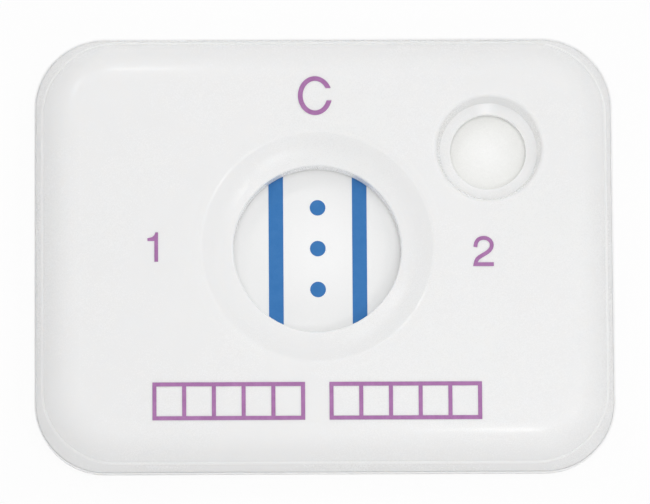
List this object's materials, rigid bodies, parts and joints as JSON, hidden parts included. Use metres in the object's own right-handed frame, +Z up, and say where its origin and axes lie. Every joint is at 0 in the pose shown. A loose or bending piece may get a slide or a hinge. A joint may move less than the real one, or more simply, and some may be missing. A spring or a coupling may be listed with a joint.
{
  "type": "lateral flow cassette",
  "caption": "Flat white moulded test cassette with a round funnelled reaction window over a striped membrane, a stepped sample well at one corner, and a strip held between two shells.",
  "frame": {"origin": "centre of the underside of the closed case", "axes": "+X along the long side, towards the side with the sample well; +Y along the short side, from the write-in boxes towards the control mark; +Z up, out of the window"},
  "size_m": [0.072, 0.0546, 0.0076],
  "materials": {
    "white_shell": "satin",
    "card": "matte",
    "membrane": "matte",
    "pad": "fibrous",
    "blue_reagent": "matte",
    "purple_print": "matte"
  },
  "bodies": {
    "root": {"top_cover": "white_shell", "bottom_tray": "white_shell", "backing_card": "card", "reaction_membrane": "membrane", "conjugate_pad": "pad", "sample_pad": "pad", "absorbent_pad": "pad", "test_line_1": "blue_reagent", "test_line_2": "blue_reagent", "control_dots": "blue_reagent", "write_in_boxes": "purple_print"}
  },
  "joints": []
}
